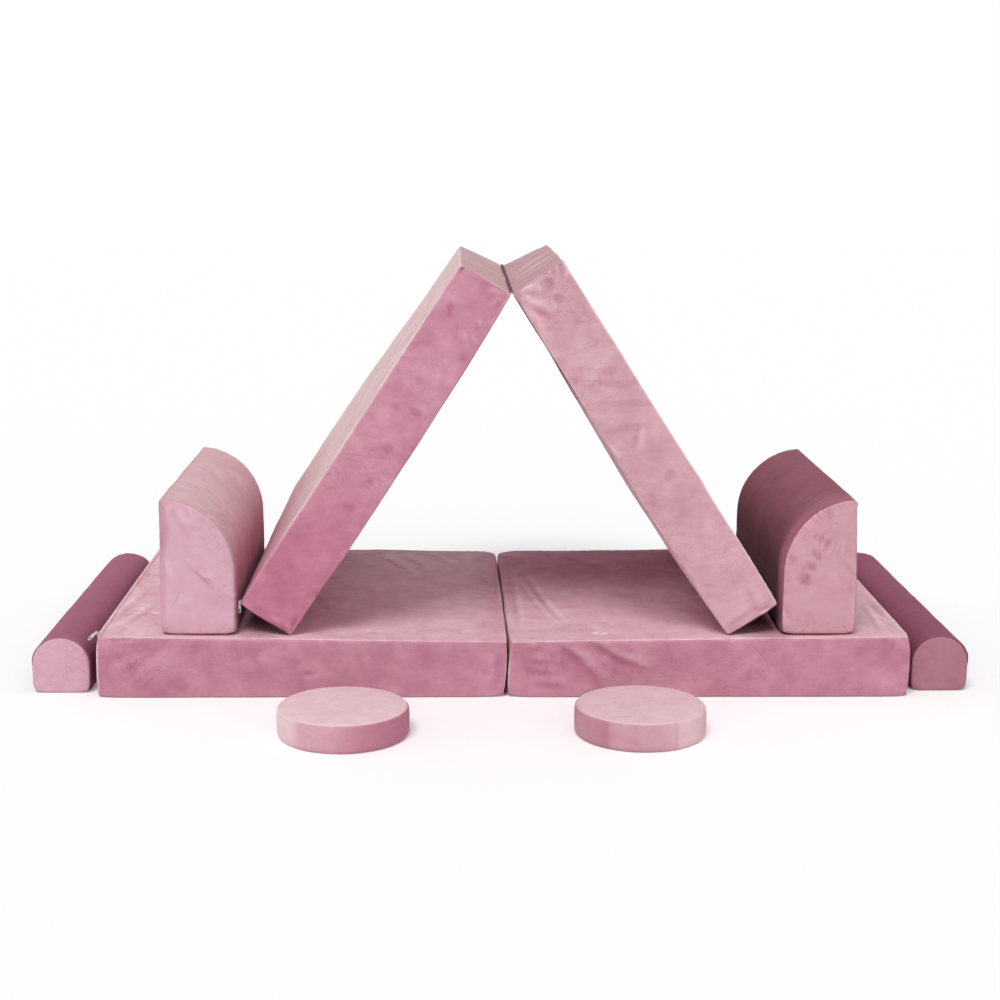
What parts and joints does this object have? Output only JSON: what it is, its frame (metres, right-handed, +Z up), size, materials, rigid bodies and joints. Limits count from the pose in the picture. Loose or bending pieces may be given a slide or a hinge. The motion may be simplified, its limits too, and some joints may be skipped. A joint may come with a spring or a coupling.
{
  "type": "modular foam play sofa",
  "caption": "Modular foam play sofa laid out as a play den: a folding mat, a second mat folded as a tent, quarter-round arm blocks, half-round bolsters and low round stools in velvet covers.",
  "frame": {"origin": "centre of the overall box at floor level", "axes": "+X to the right seen from the front, +Y to the back along the seam and the ridge, +Z up"},
  "size_m": [1.7524, 1.0916, 0.7977],
  "materials": {
    "velvet": "dusty pink short-pile velvet",
    "foam": "cut cream polyurethane foam",
    "zip_tape": "woven tape with a moulded coil",
    "zip_metal": "die-cast metal, satin"
  },
  "bodies": {
    "base_left": {"base_left_cover": "velvet", "base_left_foam": "foam", "base_left_zip": "zip_tape", "base_fabric_hinge": "velvet"},
    "base_left_slider": {"base_left_zip_slider": "zip_metal"},
    "base_left_pull": {"base_left_zip_pull": "zip_metal"},
    "base_right": {"base_right_cover": "velvet", "base_right_foam": "foam", "base_right_zip": "zip_tape"},
    "base_right_slider": {"base_right_zip_slider": "zip_metal"},
    "base_right_pull": {"base_right_zip_pull": "zip_metal"},
    "tent_left": {"tent_left_cover": "velvet", "tent_left_foam": "foam", "tent_left_zip": "zip_tape"},
    "tent_left_slider": {"tent_left_zip_slider": "zip_metal"},
    "tent_left_pull": {"tent_left_zip_pull": "zip_metal"},
    "tent_right": {"tent_right_cover": "velvet", "tent_right_foam": "foam", "tent_right_zip": "zip_tape"},
    "tent_right_slider": {"tent_right_zip_slider": "zip_metal"},
    "tent_right_pull": {"tent_right_zip_pull": "zip_metal"},
    "arm_left": {"arm_left_cover": "velvet", "arm_left_foam": "foam", "arm_left_zip": "zip_tape"},
    "arm_left_slider": {"arm_left_zip_slider": "zip_metal"},
    "arm_left_pull": {"arm_left_zip_pull": "zip_metal"},
    "arm_right": {"arm_right_cover": "velvet", "arm_right_foam": "foam", "arm_right_zip": "zip_tape"},
    "arm_right_slider": {"arm_right_zip_slider": "zip_metal"},
    "arm_right_pull": {"arm_right_zip_pull": "zip_metal"},
    "bolster_left": {"bolster_left_cover": "velvet", "bolster_left_foam": "foam", "bolster_left_zip": "zip_tape"},
    "bolster_left_slider": {"bolster_left_zip_slider": "zip_metal"},
    "bolster_left_pull": {"bolster_left_zip_pull": "zip_metal"},
    "bolster_right": {"bolster_right_cover": "velvet", "bolster_right_foam": "foam", "bolster_right_zip": "zip_tape"},
    "bolster_right_slider": {"bolster_right_zip_slider": "zip_metal"},
    "bolster_right_pull": {"bolster_right_zip_pull": "zip_metal"},
    "stool_left": {"stool_left_cover": "velvet", "stool_left_foam": "foam", "stool_left_zip": "zip_tape"},
    "stool_left_slider": {"stool_left_zip_slider": "zip_metal"},
    "stool_left_pull": {"stool_left_zip_pull": "zip_metal"},
    "stool_right": {"stool_right_cover": "velvet", "stool_right_foam": "foam", "stool_right_zip": "zip_tape"},
    "stool_right_slider": {"stool_right_zip_slider": "zip_metal"},
    "stool_right_pull": {"stool_right_zip_pull": "zip_metal"},
    "tent_ridge": {"tent_fabric_hinge": "velvet"}
  },
  "joints": [
    {"name": "base_fold", "type": "hinge", "parent": "base_left", "child": "base_right", "pos_m": [-0.00087, 0.14884, 0], "axis": [0, 1, 0], "range_deg": [0, 179]},
    {"name": "tent_lift", "type": "slide", "parent": "base_left", "child": "tent_ridge", "axis": [0, 0, 1], "range_m": [0, 0.235]},
    {"name": "tent_right_fold", "type": "hinge", "parent": "tent_ridge", "child": "tent_right", "pos_m": [0.00863, 0.16884, 0.74177], "axis": [0, 1, 0], "range_deg": [0, 31]},
    {"name": "tent_left_fold", "type": "hinge", "parent": "tent_ridge", "child": "tent_left", "pos_m": [0.00863, 0.16884, 0.74177], "axis": [0, -1, 0], "range_deg": [0, 31]},
    {"name": "arm_left_lift", "type": "slide", "parent": "base_left", "child": "arm_left", "axis": [0, 0, 1], "range_m": [0, 0.3]},
    {"name": "arm_right_lift", "type": "slide", "parent": "base_right", "child": "arm_right", "axis": [0, 0, 1], "range_m": [0, 0.3]},
    {"name": "bolster_left_slide", "type": "slide", "parent": "base_left", "child": "bolster_left", "axis": [-1, 0, 0], "range_m": [0, 0.25]},
    {"name": "bolster_right_slide", "type": "slide", "parent": "base_right", "child": "bolster_right", "axis": [1, 0, 0], "range_m": [0, 0.25]},
    {"name": "stool_left_slide", "type": "slide", "parent": "base_left", "child": "stool_left", "axis": [0, -1, 0], "range_m": [0, 0.3]},
    {"name": "stool_right_slide", "type": "slide", "parent": "base_left", "child": "stool_right", "axis": [0, -1, 0], "range_m": [0, 0.3]},
    {"name": "base_left_zip_travel", "type": "slide", "parent": "base_left", "child": "base_left_slider", "axis": [0, 1, 0], "range_m": [0, 0.69]},
    {"name": "base_left_pull_swing", "type": "hinge", "parent": "base_left_slider", "child": "base_left_pull", "pos_m": [-0.75255, -0.19616, 0.1172], "axis": [0, -1, 0], "range_deg": [-190, 10]},
    {"name": "base_right_zip_travel", "type": "slide", "parent": "base_right", "child": "base_right_slider", "axis": [0, -1, 0], "range_m": [0, 0.69]},
    {"name": "base_right_pull_swing", "type": "hinge", "parent": "base_right_slider", "child": "base_right_pull", "pos_m": [0.7508, 0.49384, 0.1172], "axis": [0, 1, 0], "range_deg": [-190, 10]},
    {"name": "tent_left_zip_travel", "type": "slide", "parent": "tent_left", "child": "tent_left_slider", "axis": [0, 1, 0], "range_m": [0, 0.69]},
    {"name": "tent_left_pull_swing", "type": "hinge", "parent": "tent_left_slider", "child": "tent_left_pull", "pos_m": [-0.49149, -0.17616, 0.16954], "axis": [0, -1, 0], "range_deg": [0, 20]},
    {"name": "tent_right_zip_travel", "type": "slide", "parent": "tent_right", "child": "tent_right_slider", "axis": [0, -1, 0], "range_m": [0, 0.69]},
    {"name": "tent_right_pull_swing", "type": "hinge", "parent": "tent_right_slider", "child": "tent_right_pull", "pos_m": [0.50875, 0.51384, 0.16954], "axis": [0, 1, 0], "range_deg": [-170, 20]},
    {"name": "arm_left_zip_travel", "type": "slide", "parent": "arm_left", "child": "arm_left_slider", "axis": [0, -1, 0], "range_m": [0, 0.512]},
    {"name": "arm_left_pull_swing", "type": "hinge", "parent": "arm_left_slider", "child": "arm_left_pull", "pos_m": [-0.63682, 0.34084, 0.15153], "axis": [0, -1, 0], "range_deg": [-170, 0]},
    {"name": "arm_right_zip_travel", "type": "slide", "parent": "arm_right", "child": "arm_right_slider", "axis": [0, 1, 0], "range_m": [0, 0.512]},
    {"name": "arm_right_pull_swing", "type": "hinge", "parent": "arm_right_slider", "child": "arm_right_pull", "pos_m": [0.65388, -0.17116, 0.15153], "axis": [0, 1, 0], "range_deg": [-170, 0]},
    {"name": "bolster_left_zip_travel", "type": "slide", "parent": "bolster_left", "child": "bolster_left_slider", "axis": [-0.0079, -1, 0], "range_m": [0, 0.629]},
    {"name": "bolster_left_pull_swing", "type": "hinge", "parent": "bolster_left_slider", "child": "bolster_left_pull", "pos_m": [-0.8736, 0.47128, 0.031], "axis": [-0.0079, -1, 0], "range_deg": [-170, 0]},
    {"name": "bolster_right_zip_travel", "type": "slide", "parent": "bolster_right", "child": "bolster_right_slider", "axis": [-0.0079, 1, 0], "range_m": [0, 0.629]},
    {"name": "bolster_right_pull_swing", "type": "hinge", "parent": "bolster_right_slider", "child": "bolster_right_pull", "pos_m": [0.8736, -0.1497, 0.031], "axis": [-0.0079, 1, 0], "range_deg": [-170, 0]},
    {"name": "stool_left_zip_travel", "type": "hinge", "parent": "stool_left", "child": "stool_left_slider", "pos_m": [-0.28537, -0.43176, 0], "axis": [0, 0, 1], "range_deg": [0, 124]},
    {"name": "stool_left_pull_swing", "type": "hinge", "parent": "stool_left_slider", "child": "stool_left_pull", "pos_m": [-0.18012, -0.37581, 0.0255], "axis": [-0.4694, 0.883, 0], "range_deg": [-170, 0]},
    {"name": "stool_right_zip_travel", "type": "hinge", "parent": "stool_right", "child": "stool_right_slider", "pos_m": [0.23033, -0.42636, 0], "axis": [0, 0, 1], "range_deg": [0, 124]},
    {"name": "stool_right_pull_swing", "type": "hinge", "parent": "stool_right_slider", "child": "stool_right_pull", "pos_m": [0.33558, -0.37041, 0.0255], "axis": [-0.4694, 0.883, 0], "range_deg": [-170, 0]}
  ],
  "couplings": [
    {"joint": "tent_right_fold", "follows": "tent_lift", "rad_per_m": 2.3},
    {"joint": "tent_left_fold", "follows": "tent_lift", "rad_per_m": 2.3}
  ]
}
